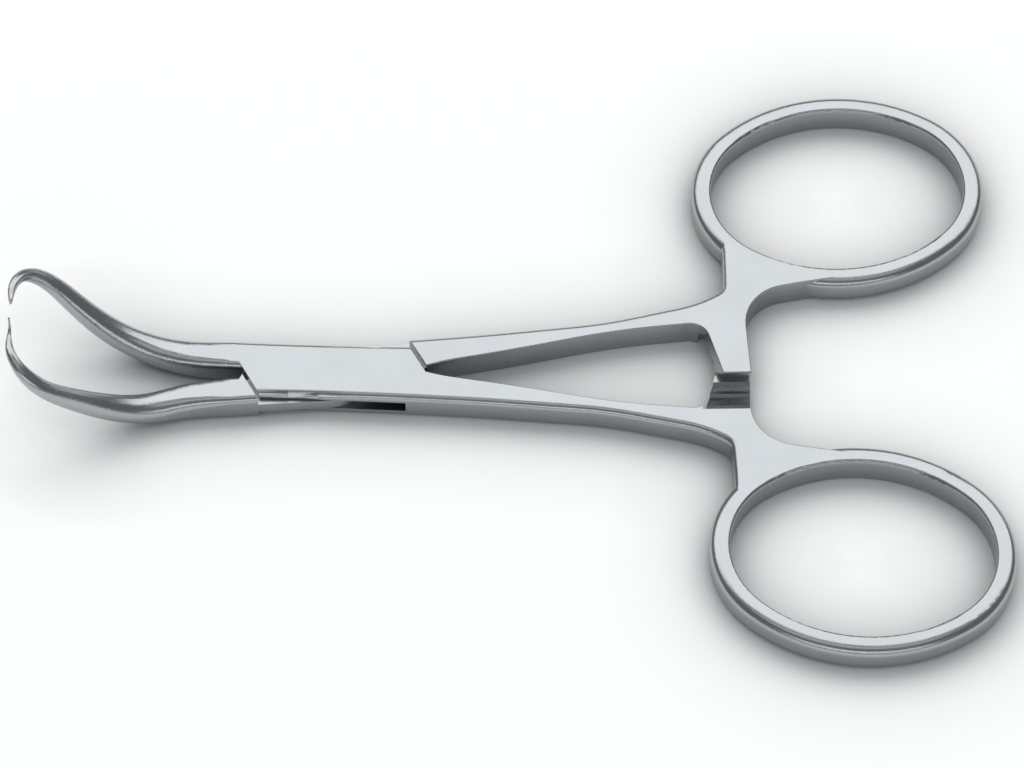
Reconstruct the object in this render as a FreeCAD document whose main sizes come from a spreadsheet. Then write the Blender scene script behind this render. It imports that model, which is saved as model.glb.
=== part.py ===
import FreeCAD, Part
import Sketcher
import math
import os

V = FreeCAD.Vector

doc = FreeCAD.newDocument("towel_clamp")

# Driving dimensions, all in millimetres and degrees.
# Origin: pivot axis at the underside. +X runs to the finger rings, +Z is the side the jaws curl to.
SIZES = [
    ("thick", 2.5, "bar thickness of lock, shanks and rings"),
    ("edge_round", 0.5, "rounding of the long outer edges"),
    ("edge_break", 0.1, "small break on the inner edges and lock ends"),
    ("lock_side", 2.5, "half width of the lock at the pivot"),
    ("lock_narrow", 0.2, "loss of half width at the free end of a cheek"),
    ("lock_reach", 6.36, "pivot to cheek end, square to that end"),
    ("lock_slant", 27.5, "slant of the cheek ends"),
    ("crotch_rise", 0.45, "height of the jaw crotch above the middle line"),
    ("crotch_drop", 0.27, "depth of the shank crotch below the middle line"),
    ("tongue_thick", 1.0, "tongue that passes through the box"),
    ("tongue_rise", 0.65, "inner corner of the tongue at a shoulder, to the middle line"),
    ("tongue_run", 0.35, "run of that corner past the crotch"),
    ("slide_gap", 0.04, "clearance between tongue and each cheek"),
    ("shoulder_gap", 0.34, "clearance between cheek end and shoulder"),
    ("pin_radius", 1.0, "pivot pin"),
    ("pin_gap", 0.04, "running clearance of the pin in the tongue"),
    ("root_reach", 8.2, "pivot to the root of the jaw"),
    ("root_side", 2.98, "outer edge of the jaw root"),
    ("root_turn", 4, "lean of the jaw at its root"),
    ("jaw_reach", 25.3, "pivot to the jaw point"),
    ("jaw_bow", 5.1, "greatest sideways bow of the jaw centre line"),
    ("jaw_rise", 10.0, "height of the jaw point above the lock mid plane"),
    ("point_side", 0.9, "jaw point to the middle line, half open gap"),
    ("point_radius", 0.08, "radius at the very point"),
    ("hook_width", 1.28, "jaw width where the hook starts"),
    ("hook_depth", 1.06, "jaw depth where the hook starts"),
    ("shank_root_reach", 8.2, "pivot to the root of the shank"),
    ("shank_root_side", 3.1, "outer edge of the shank root"),
    ("shank_side", 3.62, "outer edge of the shank at its station"),
    ("shank_station", 14.2, "pivot to the shank station"),
    ("shank_width", 1.9, "shank width at its station"),
    ("far_back", 17.1, "ring centre back to the far shank station"),
    ("shank_far_side", 4.99, "outer edge at the far station"),
    ("shank_far_width", 1.36, "shank width at the far station"),
    ("neck_back", 9.85, "ring centre back to the neck corner"),
    ("neck_side", 7.5, "neck corner to the middle line"),
    ("neck_round", 1.2, "inside rounding of the neck corner"),
    ("neck_turn", 22, "turn round the ring end to where the neck leaves it"),
    ("ring_reach", 41.3, "pivot to the ring centre"),
    ("ring_side", 17.6, "ring centre to the middle line"),
    ("ring_long", 10.43, "half length of the finger hole"),
    ("ring_short", 8.09, "half width of the finger hole"),
    ("ring_band", 1.6, "width of the ring band"),
    ("ring_tilt", 4.7, "turn of the oval ring"),
    ("ring_round", 0.7, "rounding of the ring band on its outer side"),
    ("ring_inner_round", 0.25, "rounding of the ring band round the finger hole"),
    ("arm_back", 10.2, "ring centre back to the near side of the ratchet arm end"),
    ("arm_width", 2.25, "width of the ratchet arm end"),
    ("arm_root_back", 11.55, "ring centre back to the corner between shank and arm"),
    ("arm_drop", 0.59, "fall of the shank's inner edge from the far station to the arm"),
    ("arm_root_round", 1.6, "rounding of that corner"),
    ("web_start", 3.9, "middle line to the start of the web between arm and ring"),
    ("web_turn", 88, "turn round the ring from its long axis to where the web meets it"),
    ("web_lean", 0.2, "lean of the far arm side from the arm end to the web"),
    ("flare", 0.34, "spread of the near arm side from the top down to the teeth"),
    ("arm_end", 0.78, "arm end beyond the middle line"),
    ("arm_step", 4.3, "middle line to the step of the arm"),
    ("arm_gap", 0.12, "clearance between the tooth tips"),
    ("tooth_lead", 0.93, "bevel from the thin arm end to the first tooth"),
    ("tooth_land", 0.65, "flat top of the first tooth"),
    ("tooth_pitch", 1.15, "ratchet tooth pitch"),
    ("tooth_depth", 0.45, "ratchet tooth depth"),
    ("tooth_count", 3, "teeth on each arm"),
    ("tooth_undercut", 0.06, "lean of the steep tooth side"),
    ("lip", 0.15, "thickness left at the arm end"),
]

sheet = doc.addObject("Spreadsheet::Sheet", "Sizes")
for row, (alias, value, note) in enumerate(SIZES, start=1):
    sheet.set("A%d" % row, note)
    sheet.set("B%d" % row, str(value))
    sheet.setAlias("B%d" % row, alias)
doc.recompute()


# How far a cutting shape reaches beyond what it cuts, and the run of the arm's flare along the
# arm for each millimetre of its spread.
CLEAR = 1.0
FLARE_RUN = 2.6
# Depth of the web's end in the ring band, as a share of the rounding of the band.
WEB_SEAT = 1.1


def size(alias):
    return float(sheet.get(alias))


def line(first, second):
    return Part.LineSegment(first, second).toShape()


def arc_from(start, way, end):
    """Arc that leaves the start along a direction and passes through the end."""
    chord = end - start
    bend = way.getAngle(chord)
    if bend < 1e-6:
        return line(start, end)
    side = (way - chord * (way.dot(chord) / chord.dot(chord))).normalize()
    middle = (start + end) * 0.5 + side * (chord.Length / 2 * math.tan(bend / 2))
    return Part.Arc(start, middle, end).toShape()


def arc_pair(start, start_way, end, end_way):
    """Two arcs that meet smoothly and have the given directions at their far ends."""
    chord = end - start
    both = start_way + end_way
    turn = 1 - start_way.dot(end_way)
    if turn < 1e-9:
        reach = chord.dot(chord) / (2 * chord.dot(both))
    else:
        root = math.sqrt(chord.dot(both) ** 2 + 2 * turn * chord.dot(chord))
        reach = (root - chord.dot(both)) / (2 * turn)
    meet = (start + end + (start_way - end_way) * reach) * 0.5
    return [arc_from(start, start_way, meet), arc_from(end, end_way * -1, meet)]


def arcs(points, first_way, last_way):
    """Smooth run of arcs through the points, with given directions at both ends."""
    ways = [V(first_way).normalize()]
    for before, here, after in zip(points, points[1:], points[2:]):
        back = here - before
        ahead = after - here
        way = back * (ahead.Length / back.Length) + ahead * (back.Length / ahead.Length)
        ways.append(way.normalize())
    ways.append(V(last_way).normalize())
    run = []
    for number in range(len(points) - 1):
        run += arc_pair(points[number], ways[number], points[number + 1], ways[number + 1])
    return run


def corner(before, point, after, radius):
    """Rounded corner of a path: the arc and the two points where it starts and ends."""
    back = (before - point).normalize()
    ahead = (after - point).normalize()
    half = back.getAngle(ahead) / 2.0
    start = point + back * (radius / math.tan(half))
    end = point + ahead * (radius / math.tan(half))
    bisector = (back + ahead).normalize()
    middle = point + bisector * (radius / math.sin(half) - radius)
    return Part.Arc(start, middle, end).toShape(), start, end


def cheek_point(side):
    """Point of the slanted cheek end at the given distance from the middle line."""
    slant = math.radians(size("lock_slant"))
    return (size("lock_reach") - side * math.sin(slant)) / math.cos(slant)


def jaw_crotch():
    """Corner between the jaw's inner side and the slanted cheek end."""
    return V(-cheek_point(-size("crotch_rise")), size("crotch_rise"), 0)


def root_frame():
    """Outer and inner corner of the jaw root and the way out of it, parallel to the inner side."""
    turn = math.radians(size("root_turn"))
    outward = V(-math.cos(turn), math.sin(turn), 0)
    across = V(-math.sin(turn), -math.cos(turn), 0)
    outer = V(-size("root_reach"), size("root_side"), 0)
    inner = outer + across * across.dot(jaw_crotch() - outer)
    return outer, inner, outward


def oval_arcs():
    """Radii, centre distances and meeting angle of the four arcs round the finger hole."""
    long = size("ring_long")
    short = size("ring_short")
    reach = math.hypot(long, short)
    tight = (reach - (long - short)) / 2 * reach / long
    flat = (reach + (long - short)) / 2 * reach / short
    end_centre = long - tight
    side_centre = flat - short
    return tight, flat, end_centre, side_centre, math.atan2(side_centre, end_centre)


def ring_spot(angle):
    """Point of the ring band below its rounding, on the side of the middle line, and the way along
    it towards the ring's far end."""
    tight, flat, end_centre, side_centre, aim = oval_arcs()
    turn = math.radians(angle)
    spread = V(math.cos(turn), math.sin(turn), 0)
    grow = size("ring_band") - WEB_SEAT * size("ring_round")
    if turn < math.pi - aim:
        spot = spread * (flat + grow) - V(0, side_centre, 0)
    else:
        spot = spread * (tight + grow) - V(end_centre, 0, 0)
    tilt = FreeCAD.Rotation(V(0, 0, 1), -size("ring_tilt"))
    centre = V(size("ring_reach"), -size("ring_side"), 0)
    return centre + tilt.multVec(spot), tilt.multVec(V(spread.y, -spread.x, 0))


# Plan of one half
# Directions of its edges: shank leaving the crotch, outer shank at the neck, neck at the shank,
# outer lock at the cheek.
SHANK_START = (1, -0.3, 0)
SHANK_END = (-1.6, 1.0, 0)
NECK_END = (-0.04, 1.0, 0)
LOCK_OUTER = (-1, 0.03, 0)


def plan():
    """Outline of a half whose jaw lies at +Y and whose ring lies at -Y, as named runs of edges."""
    side = size("lock_side")
    tip_side = side - size("lock_narrow")
    cheek_outer = V(cheek_point(tip_side), tip_side, 0)
    crotch = V(cheek_point(-size("crotch_drop")), -size("crotch_drop"), 0)
    root_outer, root_inner, outward = root_frame()
    ring = V(size("ring_reach"), -size("ring_side"), 0)
    shank_root = V(size("shank_root_reach"), -size("shank_root_side"), 0)
    near = V(size("shank_station"), -size("shank_side"), 0)
    near_inner = near + V(0, size("shank_width"), 0)
    far = V(ring.x - size("far_back"), -size("shank_far_side"), 0)
    far_inner = far + V(0, size("shank_far_width"), 0)
    neck = V(ring.x - size("neck_back"), -size("neck_side"), 0)
    arm_corner = V(ring.x - size("arm_root_back"), far_inner.y - size("arm_drop"), 0)
    arm_near = V(ring.x - size("arm_back"), size("arm_end"), 0)
    arm_far = arm_near + V(size("arm_width"), 0, 0)
    web_start = V(arm_far.x - size("web_lean"), -size("web_start"), 0)
    ring_top, top_way = ring_spot(size("web_turn"))
    ring_left, left_way = ring_spot(180 - size("neck_turn"))

    edges = {}
    edges["jaw_outer"] = arcs([cheek_outer, root_outer], V(*LOCK_OUTER), outward)
    edges["cheek_end"] = [line(cheek_outer, crotch)]
    arc, arc_start, arc_end = corner(far_inner, arm_corner, arm_near, size("arm_root_round"))
    edges["shank_inner"] = arcs([crotch, near_inner, far_inner, arc_start], V(*SHANK_START),
                                arc_start - far_inner)
    edges["arm_corner"] = [arc]
    edges["arm_near"] = [line(arc_end, arm_near)]
    edges["arm_tip"] = [line(arm_near, arm_far)]
    edges["arm_far"] = [line(arm_far, web_start)]
    edges["web"] = arcs([web_start, ring_top], web_start - arm_far, top_way)
    edges["in_ring"] = [line(ring_top, ring), line(ring, ring_left)]
    neck_arc, neck_start, neck_end = corner(neck - V(*NECK_END), neck, neck + V(*SHANK_END),
                                            size("neck_round"))
    edges["neck_run"] = arcs([ring_left, neck_start], left_way, V(*NECK_END))
    edges["neck"] = [neck_arc]
    jaw_cheek = cheek_outer * -1
    edges["shank_outer"] = arcs([neck_end, far, near, shank_root, jaw_cheek], V(*SHANK_END),
                                V(*LOCK_OUTER))
    edges["jaw_cheek_end"] = [line(jaw_cheek, jaw_crotch())]
    edges["jaw_inner"] = [line(jaw_crotch(), root_inner)]
    edges["root"] = [line(root_inner, root_outer)]
    return edges


def named_edges(solid, outline, names, height):
    """Edges of the extruded outline at a height whose middle lies on a named run."""
    runs = [edge for name in names for edge in outline[name]]
    found = []
    for edge in solid.Edges:
        middle = edge.valueAt((edge.FirstParameter + edge.LastParameter) / 2)
        if abs(middle.z - height) > 1e-6 or edge.BoundBox.ZLength > 1e-6:
            continue
        spot = Part.Vertex(middle.x, middle.y, 0)
        if any(edge.distToShape(spot)[0] < 1e-5 for edge in runs):
            found.append(edge)
    return found


OUTER = ("jaw_outer", "shank_outer", "neck", "neck_run", "jaw_inner")
INNER = ("shank_inner", "arm_corner", "arm_near", "arm_tip", "arm_far", "web", "cheek_end")


def bar():
    """Lock body, shank, arm and web of one half as one rounded plate."""
    outline = plan()
    edges = [edge for run in outline.values() for edge in run]
    wire = Part.Wire(Part.__sortEdges__(edges))
    plate = Part.Face(wire).extrude(V(0, 0, size("thick")))
    for names, radius in ((OUTER, size("edge_round")), (INNER, size("edge_break"))):
        edges = []
        for height in (0, size("thick")):
            edges += named_edges(plate, outline, names, height)
        plate = plate.makeFillet(radius, edges).Solids[0]
    return plate


def oval(grow):
    """Filled oval plate about the ring centre, larger than the finger hole by grow: four arcs that
    meet smoothly, flat ones along the sides and tight ones at the ends."""
    tight, flat, end_centre, side_centre, aim = oval_arcs()
    meet = V(end_centre + (tight + grow) * math.cos(aim), (tight + grow) * math.sin(aim), 0)
    end = V(size("ring_long") + grow, 0, 0)
    top = V(0, size("ring_short") + grow, 0)
    across = V(-meet.x, meet.y, 0)
    rounds = [(across * -1, end, meet), (meet, top, across),
              (across, end * -1, meet * -1), (meet * -1, top * -1, across * -1)]
    face = Part.Face(Part.Wire([Part.Arc(*points).toShape() for points in rounds]))
    plate = face.extrude(V(0, 0, size("thick")))
    plate.rotate(V(0, 0, 0), V(0, 0, 1), -size("ring_tilt"))
    plate.translate(V(size("ring_reach"), -size("ring_side"), 0))
    return plate


def arm_flare(outline):
    """Wedge along the near side of the arm, which spreads from the top down to the teeth."""
    near = outline["arm_near"][0]
    tip = near.valueAt(near.LastParameter)
    start = near.valueAt(near.FirstParameter)
    start = start - (tip - start).normalize() * (FLARE_RUN * size("flare"))
    top = V(0, 0, size("thick") - size("edge_break"))
    spread = V(-size("flare"), 0, 0)
    middle = V(0, 0, size("thick") / 2)
    points = [start, start + top, start + spread + middle, start + spread]
    return Part.Face(Part.makePolygon(points + points[:1])).extrude(tip - start)


def ring():
    """Finger ring: an oval band, well rounded outside and less so round the finger hole."""
    hole = oval(0)
    band = oval(size("ring_band")).cut(hole)
    for at_hole, radius in ((False, size("ring_round")), (True, size("ring_inner_round"))):
        loops = []
        for edge in band.Edges:
            middle = edge.valueAt((edge.FirstParameter + edge.LastParameter) / 2)
            on_face = min(middle.z, size("thick") - middle.z) < 1e-6
            touching = hole.distToShape(Part.Vertex(middle))[0] < 1e-5
            if on_face and edge.BoundBox.ZLength < 1e-6 and touching == at_hole:
                loops.append(edge)
        band = band.makeFillet(radius, loops).Solids[0]
    return band


# Jaw
# Shares of reach, bow and rise that the centre line passes: from the root to the start of the
# hook, and from there to the point.
JAW_COURSE = (
    (0.22, 0.12, 0.0),
    (0.376, 0.33, 0.021),
    (0.544, 0.56, 0.145),
    (0.739, 0.89, 0.443),
    (0.898, 0.99, 0.735),
)
HOOK_COURSE = (
    (0.977, 0.64, 0.858),
    (0.998, 0.28, 0.872),
)
JAW_SECTIONS = 14
# Power of the taper, greatest corner radius as a share of the smaller side, and how much sooner
# than the point the corners reach it.
TAPER = 1.7
FULL_ROUND = 0.44
ROUND_EASE = 3.0


def section(centre, along, width, depth, radius):
    """Rounded rectangle square to a direction, its depth as upright as it can be."""
    upright = V(0, 0, 1) - along * along.z
    upright.normalize()
    across = along.cross(upright)
    flat_w = width / 2 - radius
    flat_d = depth / 2 - radius
    lean = math.sqrt(0.5)
    edges = []
    corners = ((1, 1), (-1, 1), (-1, -1), (1, -1))
    arcs = []
    for sx, sz in corners:
        middle = centre + across * (sx * flat_w) + upright * (sz * flat_d)
        on_side = middle + across * (sx * radius)
        on_face = middle + upright * (sz * radius)
        on_arc = middle + (across * sx + upright * sz) * (lean * radius)
        first, last = (on_side, on_face) if sx * sz > 0 else (on_face, on_side)
        arcs.append((first, on_arc, last))
    for number, (first, on_arc, last) in enumerate(arcs):
        following = arcs[(number + 1) % 4][0]
        edges.append(Part.Arc(first, on_arc, last).toShape())
        edges.append(Part.LineSegment(last, following).toShape())
    return Part.Wire(edges)


def jaw():
    """Jaw that bows out, curls up and hooks in to a point."""
    outer, inner, outward = root_frame()
    root = (outer + inner) * 0.5 + V(0, 0, size("thick") / 2)
    root_width = (outer - inner).Length
    reach = size("jaw_reach") + root.x
    bow = size("jaw_bow") - root.y
    points = [root]
    for along, out, up in JAW_COURSE + HOOK_COURSE:
        points.append(root + V(-along * reach, out * bow, up * size("jaw_rise")))
    point = V(-size("jaw_reach"), size("point_side"), root.z + size("jaw_rise"))
    points.append(point)
    curve = Part.BSplineCurve()
    curve.interpolate(points)
    inward = V(*curve.tangent(curve.LastParameter)[0])
    curve.interpolate(points, InitialTangent=outward, FinalTangent=inward)
    first, last = curve.FirstParameter, curve.LastParameter
    hook = curve.parameter(points[len(JAW_COURSE)])
    wires = []
    for step in range(JAW_SECTIONS + 1):
        where = first + (last - first) * step / JAW_SECTIONS
        centre = curve.value(where)
        along = V(*curve.tangent(where)[0])
        if where < hook:
            share = ((where - first) / (hook - first)) ** TAPER
            width = root_width + (size("hook_width") - root_width) * share
            depth = size("thick") + (size("hook_depth") - size("thick")) * share
        else:
            share = (where - hook) / (last - hook)
            tip = 2 * size("point_radius")
            width = size("hook_width") + (tip - size("hook_width")) * share
            depth = size("hook_depth") + (tip - size("hook_depth")) * share
        full = FULL_ROUND * min(width, depth)
        ease = min(1.0, ROUND_EASE * step / JAW_SECTIONS)
        radius = min(full, size("edge_round") + (full - size("edge_round")) * ease)
        wires.append(section(centre, along, width, depth, radius))
    return Part.makeLoft(wires, True, False)


def blank():
    """One half as forged: plate, ring and jaw in one piece."""
    plate = bar().fuse(arm_flare(plan())).Solids[0]
    plate = plate.cut(oval(size("ring_band") / 2)).Solids[0]
    with_ring = plate.fuse(ring()).Solids[0]
    return with_ring.fuse(jaw()).Solids[0]


def tooth_space():
    """Space cut above the lower arm: bevelled end, flat first tooth and ramped teeth."""
    tip_level = (size("thick") - size("arm_gap")) / 2
    root_level = tip_level - size("tooth_depth")
    above = size("thick") + CLEAR
    undercut = size("tooth_undercut")
    end = size("arm_end")
    step = -size("arm_step")
    profile = [(end + CLEAR, above), (end + CLEAR, size("lip")), (end, size("lip"))]
    here = end - size("tooth_lead")
    profile.append((here, tip_level))
    here -= size("tooth_land")
    profile.append((here, tip_level))
    for number in range(int(size("tooth_count"))):
        profile.append((here - undercut, root_level))
        here -= size("tooth_pitch")
        profile.append((max(here, step), tip_level))
    if here > step:
        profile.append((step, tip_level))
    profile.append((step, above))
    far = size("ring_reach") - size("arm_back") + size("arm_width") + CLEAR
    near = size("ring_reach") - size("arm_root_back") - size("tooth_depth")
    points = [V(near, y, z) for y, z in profile]
    face = Part.Face(Part.makePolygon(points + points[:1]))
    return face.extrude(V(far - near, 0, 0))


def tongue_region():
    """Plan of the tongue: an eye round the pin that widens to both shoulders."""
    eye = size("lock_side")
    inner = V(cheek_point(0) + size("tongue_run"), size("tongue_rise"), 0)
    aim = math.atan2(inner.y, inner.x) - math.acos(eye / inner.Length)
    touch = V(eye * math.cos(aim), eye * math.sin(aim), 0)
    between = (aim - math.pi / 2) / 2
    on_arc = V(eye * math.cos(between), eye * math.sin(between), 0)
    wide = 2 * eye
    half = [V(0, -eye, 0), on_arc, touch, inner, V(inner.x + CLEAR, wide, 0), V(0, wide, 0)]
    edges = []
    for turn in (1, -1):
        bottom, middle, tangent, corner_in, corner_out, top = [p * turn for p in half]
        edges.append(Part.Arc(bottom, middle, tangent).toShape())
        edges.append(line(tangent, corner_in))
        edges.append(line(corner_in, corner_out))
        edges.append(line(corner_out, top))
        edges.append(line(top, V(0, eye, 0) * turn))
    face = Part.Face(Part.Wire(edges))
    region = face.extrude(V(0, 0, size("tongue_thick")))
    region.translate(V(0, 0, (size("thick") - size("tongue_thick")) / 2))
    return region


def feature(name, shape):
    made = doc.addObject("Part::Feature", name)
    made.Shape = shape
    return made


def bound(type_name, name, **expressions):
    """A primitive whose properties follow the sheet."""
    made = doc.addObject(type_name, name)
    for prop, expression in expressions.items():
        made.setExpression(prop, expression)
    return made


def slanted_box(name, half_length, width, height, level, angle):
    """Box centred on the pivot axis and turned about it."""
    made = bound("Part::Box", name, Length="2 * (%s)" % half_length, Width=width, Height=height)
    made.Placement = FreeCAD.Placement(V(0, 0, 0), FreeCAD.Rotation(V(0, 0, 1), 10))
    turn = "(%s) * 1 deg" % angle
    made.setExpression("Placement.Rotation.Angle", turn)
    made.setExpression("Placement.Base.x", "-(%s) * cos(%s) + (%s) / 2 * sin(%s)"
                       % (half_length, turn, width, turn))
    made.setExpression("Placement.Base.y", "-(%s) * sin(%s) - (%s) / 2 * cos(%s)"
                       % (half_length, turn, width, turn))
    made.setExpression("Placement.Base.z", level)
    return made


def cut(name, base, tools):
    """Base less its tools."""
    joined = tools[0]
    if len(tools) > 1:
        joined = doc.addObject("Part::MultiFuse", name + "_tools")
        joined.Shapes = tools
        joined.Refine = False
    made = doc.addObject("Part::Cut", name)
    made.Base = base
    made.Tool = joined
    made.Refine = False
    return made


# Box half: jaw at +Y, box with two cheeks, shank and ring at -Y
def box_half():
    forged = feature("box_forging", blank())
    slot = slanted_box("box_slot", "Sizes.lock_reach", "4 * Sizes.lock_reach",
                       "Sizes.tongue_thick + 2 * Sizes.slide_gap",
                       "(Sizes.thick - Sizes.tongue_thick) / 2 - Sizes.slide_gap",
                       "0 - Sizes.lock_slant")
    bore = bound("Part::Cylinder", "box_bore", Radius="Sizes.pin_radius", Height="Sizes.thick")
    teeth = feature("box_tooth_space", tooth_space())
    made = cut("box_half", forged, [slot, bore, teeth])
    return made


# Tongue half: the mirror image, with a thin tongue through the box
def tongue_half():
    shape = blank().mirror(V(0, 0, 0), V(0, 1, 0))
    forged = feature("tongue_forging", shape)
    band = slanted_box("lock_band", "Sizes.lock_reach + Sizes.shoulder_gap",
                       "4 * Sizes.lock_reach", "Sizes.thick + %g" % (2 * CLEAR), "-%g" % CLEAR,
                       "Sizes.lock_slant")
    region = feature("tongue_region", tongue_region())
    tongue = doc.addObject("Part::Common", "tongue")
    tongue.Base = forged
    tongue.Tool = region
    tongue.Refine = False
    space = tooth_space()
    space.rotate(V(0, 0, size("thick") / 2), V(1, 0, 0), 180)
    teeth = feature("tongue_tooth_space", space)
    ends = cut("tongue_ends", forged, [band, teeth])
    whole = doc.addObject("Part::MultiFuse", "tongue_blank")
    whole.Shapes = [ends, tongue]
    whole.Refine = False
    bore = bound("Part::Cylinder", "tongue_bore",
                 Radius="Sizes.pin_radius + Sizes.pin_gap", Height="Sizes.thick")
    return cut("tongue_half", whole, [bore])


# Pivot pin: pressed into both cheeks and ground flush with them
def pivot_pin():
    body = doc.addObject("PartDesign::Body", "pivot_pin")
    plane = [p for p in body.Origin.OriginFeatures if p.Role == "XY_Plane"][0]
    sketch = body.newObject("Sketcher::SketchObject", "pin_circle")
    sketch.AttachmentSupport = [(plane, "")]
    sketch.MapMode = "FlatFace"
    sketch.addGeometry(Part.Circle(V(0, 0, 0), V(0, 0, 1), 1.0), False)
    sketch.addConstraint(Sketcher.Constraint("Coincident", 0, 3, -1, 1))
    number = sketch.addConstraint(Sketcher.Constraint("Radius", 0, 1.0))
    sketch.renameConstraint(number, "pin")
    sketch.setExpression("Constraints.pin", "Sizes.pin_radius")
    pad = body.newObject("PartDesign::Pad", "pin_length")
    pad.Profile = sketch
    pad.setExpression("Length", "Sizes.thick")
    body.Tip = pad
    return body


parts = [box_half(), tongue_half(), pivot_pin()]
doc.recompute()
for item in doc.Objects:
    if "Invalid" in item.State or "Error" in item.State:
        raise RuntimeError("%s failed: %s" % (item.Name, item.State))
for item in parts:
    if item.Shape.isNull() or not item.Shape.isValid():
        raise RuntimeError("%s has no valid shape" % item.Name)
os.makedirs("parts", exist_ok=True)
for item in parts:
    item.Label = item.Name
    item.Shape.exportStep("parts/%s.step" % item.Label)
    print(item.Label, len(item.Shape.Solids), round(item.Shape.Volume, 2), item.Shape.BoundBox)
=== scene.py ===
import math

import bpy
from mathutils import Matrix, Vector

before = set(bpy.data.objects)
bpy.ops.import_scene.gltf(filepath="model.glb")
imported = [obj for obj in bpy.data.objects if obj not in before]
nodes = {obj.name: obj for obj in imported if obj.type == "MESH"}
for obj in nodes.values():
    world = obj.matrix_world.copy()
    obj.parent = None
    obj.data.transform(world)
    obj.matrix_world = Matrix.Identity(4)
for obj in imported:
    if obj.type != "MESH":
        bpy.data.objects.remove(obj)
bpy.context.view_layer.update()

MM = 0.001
THICK = 2.5 * MM

# Steel: linear colours, and grain in cycles per metre along and across the brushing
STEEL_COLOR = (0.41, 0.43, 0.442)
STEEL_ROUGHNESS = 0.27
PIN_COLOR = (0.407, 0.427, 0.439)
PIN_ROUGHNESS = 0.275
STEEL_IOR = 2.5
ROUGHNESS_SPREAD = 0.05
PATCH_SCALE = 260
PATCH_DETAIL = 2
GRAIN_SCALE = (4000, 16000, 16000)
GRAIN_DETAIL = 3
GRAIN_STRENGTH = 0.3
GRAIN_DEPTH = 0.01 * MM

# Floor: grey paper that glows towards the camera, with a painted shadow that dims the glow close
# under the part
FLOOR_SIZE = 3
FLOOR_COLOR = (0.62, 0.62, 0.62)
FLOOR_ROUGHNESS = 0.9
FLOOR_GLOW = 0.58
PAINTED_SHADOW_REACH = 9 * MM
PAINTED_SHADOW_POWER = 3.2
PAINTED_SHADOW_SAMPLES = 16

# Light: the sky, then name, place, width, height and power of each lamp, in metres and watts
SKY_COLOR = (0.75, 0.78, 0.80)
SKY_STRENGTH = 0.27
LAMP_TARGET = (0.015, 0, 0)
LAMPS = [
    ("key", (0, 0.56, 0.71), 1.6, 0.66, 5.2),
    ("front", (0, -0.95, 0.42), 1.4, 0.32, 2.0),
    ("top", (0.015, -0.15, 0.95), 0.9, 0.45, 0.75),
]

# Camera: fitted to both rings of the photograph
ELEVATION, AZIMUTH, ROLL = (math.radians(v) for v in (55.0, -1.825, 0.809))
DISTANCE = 389.2 * MM
SHIFT_UP = 1.355 * MM
PIVOT = Vector((14.2 * MM, 0, THICK))
FOCAL_PIXELS = 4865.0
IMAGE_WIDTH = 1024
SENSOR = 36
CLIP = (0.01, 10)


def socket(node, name, value):
    node.inputs[name].default_value = value


def link(tree, out_node, out_name, in_node, in_name):
    tree.links.new(out_node.outputs[out_name], in_node.inputs[in_name])


def math_node(tree, operation):
    node = tree.nodes.new("ShaderNodeMath")
    node.operation = operation
    return node


def noise(tree, scale, detail):
    node = tree.nodes.new("ShaderNodeTexNoise")
    socket(node, "Scale", scale)
    socket(node, "Detail", detail)
    return node


def steel(name, color, roughness):
    """Satin steel: broad patches vary the shine and a fine stretched grain gives a faint bump."""
    material = bpy.data.materials.new(name)
    material.use_nodes = True
    tree = material.node_tree
    shader = tree.nodes["Principled BSDF"]
    socket(shader, "Base Color", (*color, 1))
    socket(shader, "Metallic", 1)
    socket(shader, "IOR", STEEL_IOR)
    place = tree.nodes.new("ShaderNodeTexCoord")
    stretch = tree.nodes.new("ShaderNodeMapping")
    socket(stretch, "Scale", GRAIN_SCALE)
    link(tree, place, "Object", stretch, "Vector")
    grain = noise(tree, 1, GRAIN_DETAIL)
    link(tree, stretch, "Vector", grain, "Vector")
    patches = noise(tree, PATCH_SCALE, PATCH_DETAIL)
    link(tree, place, "Object", patches, "Vector")
    spread = tree.nodes.new("ShaderNodeMapRange")
    socket(spread, "To Min", roughness - ROUGHNESS_SPREAD)
    socket(spread, "To Max", roughness + ROUGHNESS_SPREAD)
    link(tree, patches, "Fac", spread, "Value")
    link(tree, spread, "Result", shader, "Roughness")
    bump = tree.nodes.new("ShaderNodeBump")
    socket(bump, "Strength", GRAIN_STRENGTH)
    socket(bump, "Distance", GRAIN_DEPTH)
    link(tree, grain, "Fac", bump, "Height")
    link(tree, bump, "Normal", shader, "Normal")
    return material


def dress(obj, material):
    obj.data.materials.clear()
    obj.data.materials.append(material)
    even = obj.modifiers.new("even_normals", "WEIGHTED_NORMAL")
    even.keep_sharp = True


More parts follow.
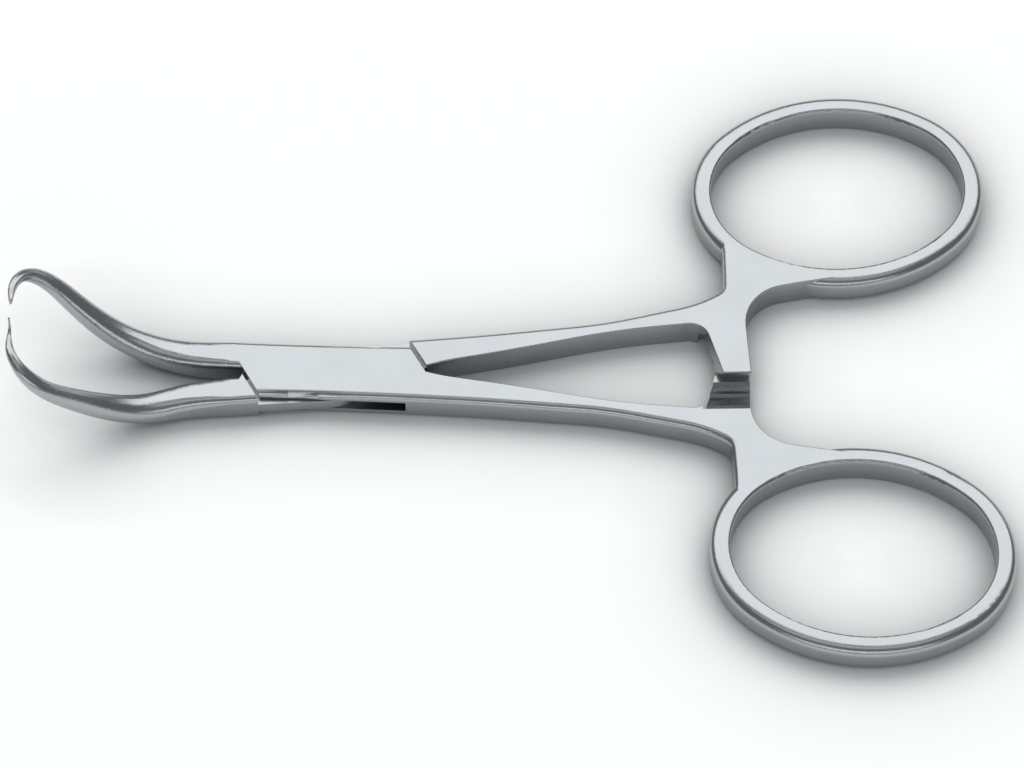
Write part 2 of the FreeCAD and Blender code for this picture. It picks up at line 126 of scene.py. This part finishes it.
def paper_material():
    """Paper lit by the lamps, with a glow that camera, glossy and transmission rays see, and a
    painted shadow that dims the glow near the part.
    """
    paper = bpy.data.materials.new("paper")
    paper.use_nodes = True
    tree = paper.node_tree
    surface = tree.nodes["Principled BSDF"]
    socket(surface, "Base Color", (*FLOOR_COLOR, 1))
    socket(surface, "Roughness", FLOOR_ROUGHNESS)
    socket(surface, "Emission Color", (1, 1, 1, 1))
    path = tree.nodes.new("ShaderNodeLightPath")
    seen = math_node(tree, "MAXIMUM")
    link(tree, path, "Is Camera Ray", seen, 0)
    link(tree, path, "Is Glossy Ray", seen, 1)
    seen_through = math_node(tree, "MAXIMUM")
    link(tree, seen, "Value", seen_through, 0)
    link(tree, path, "Is Transmission Ray", seen_through, 1)
    amount = math_node(tree, "MULTIPLY")
    socket(amount, 1, FLOOR_GLOW)
    link(tree, seen_through, "Value", amount, 0)
    # Painted shadow: ambient occlusion, raised to a power, dims the glow near the part
    painted_shadow_ao = tree.nodes.new("ShaderNodeAmbientOcclusion")
    painted_shadow_ao.samples = PAINTED_SHADOW_SAMPLES
    socket(painted_shadow_ao, "Distance", PAINTED_SHADOW_REACH)
    painted_shadow = math_node(tree, "POWER")
    socket(painted_shadow, 1, PAINTED_SHADOW_POWER)
    link(tree, painted_shadow_ao, "AO", painted_shadow, 0)
    glow = math_node(tree, "MULTIPLY")
    link(tree, amount, "Value", glow, 0)
    link(tree, painted_shadow, "Value", glow, 1)
    link(tree, glow, "Value", surface, "Emission Strength")
    return paper


def lamp(name, place, width, height, power):
    light = bpy.data.lights.new(name, "AREA")
    light.shape = "RECTANGLE"
    light.size = width
    light.size_y = height
    light.energy = power
    holder = bpy.data.objects.new(name, light)
    holder.location = place
    aim = Vector(LAMP_TARGET) - Vector(place)
    holder.rotation_euler = aim.to_track_quat("-Z", "Y").to_euler()
    bpy.context.scene.collection.objects.link(holder)


# Part
satin = steel("satin_steel", STEEL_COLOR, STEEL_ROUGHNESS)
pin = steel("pin_steel", PIN_COLOR, PIN_ROUGHNESS)
dress(nodes["box_half"], satin)
dress(nodes["tongue_half"], satin)
dress(nodes["pivot_pin"], pin)

# Floor
bpy.ops.mesh.primitive_plane_add(size=FLOOR_SIZE, location=(0, 0, 0))
floor = bpy.context.object
floor.name = "floor"
floor.data.materials.append(paper_material())

# Light
world = bpy.data.worlds.new("studio")
bpy.context.scene.world = world
world.use_nodes = True
sky = world.node_tree.nodes["Background"]
socket(sky, "Color", (*SKY_COLOR, 1))
socket(sky, "Strength", SKY_STRENGTH)
for row in LAMPS:
    lamp(*row)

# Camera
back = Vector((math.sin(AZIMUTH) * math.cos(ELEVATION),
               -math.cos(AZIMUTH) * math.cos(ELEVATION), math.sin(ELEVATION)))
level = Vector((math.cos(AZIMUTH), math.sin(AZIMUTH), 0))
upright = back.cross(level)
right = level * math.cos(ROLL) + upright * math.sin(ROLL)
up = upright * math.cos(ROLL) - level * math.sin(ROLL)
view = bpy.data.cameras.new("camera")
view.sensor_width = SENSOR
view.lens = FOCAL_PIXELS / IMAGE_WIDTH * SENSOR
view.clip_start, view.clip_end = CLIP
camera = bpy.data.objects.new("camera", view)
bpy.context.scene.collection.objects.link(camera)
stand = Matrix.Translation(PIVOT + back * DISTANCE - up * SHIFT_UP)
camera.matrix_world = stand @ Matrix((right, up, back)).transposed().to_4x4()
bpy.context.scene.camera = camera
bpy.context.scene.view_settings.view_transform = "Standard"
